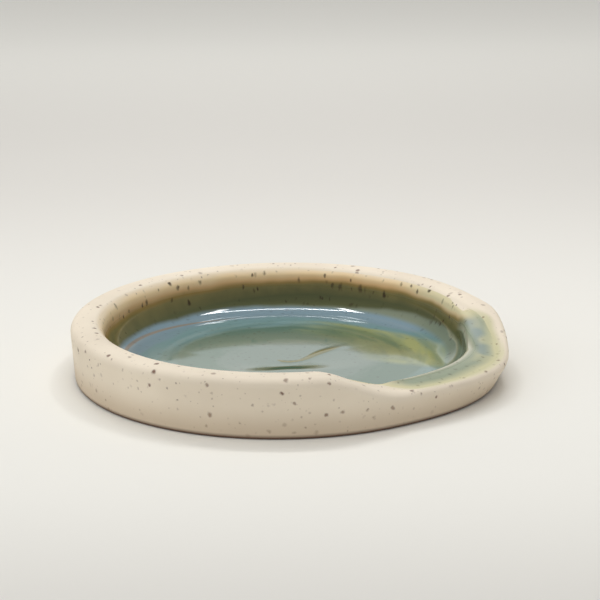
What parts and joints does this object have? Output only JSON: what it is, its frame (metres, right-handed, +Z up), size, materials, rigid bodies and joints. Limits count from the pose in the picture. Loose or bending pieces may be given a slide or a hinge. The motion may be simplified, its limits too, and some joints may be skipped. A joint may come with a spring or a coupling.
{
  "type": "spoon rest",
  "caption": "Round, low stoneware dish for a cooking spoon, with a thick soft rim, a glazed well, and one stretch of rim pressed down into a lip for the handle.",
  "frame": {"origin": "centre of the flat base, where it meets the table", "axes": "+Z up along the axis of throwing, +X towards the pulled-out lip"},
  "size_m": [0.1291, 0.1238, 0.017],
  "materials": {
    "stoneware": "matt, iron-speckled",
    "glaze": "glossy"
  },
  "bodies": {
    "root": {"stoneware_body": "stoneware", "glaze_lining": "glaze"}
  },
  "joints": []
}
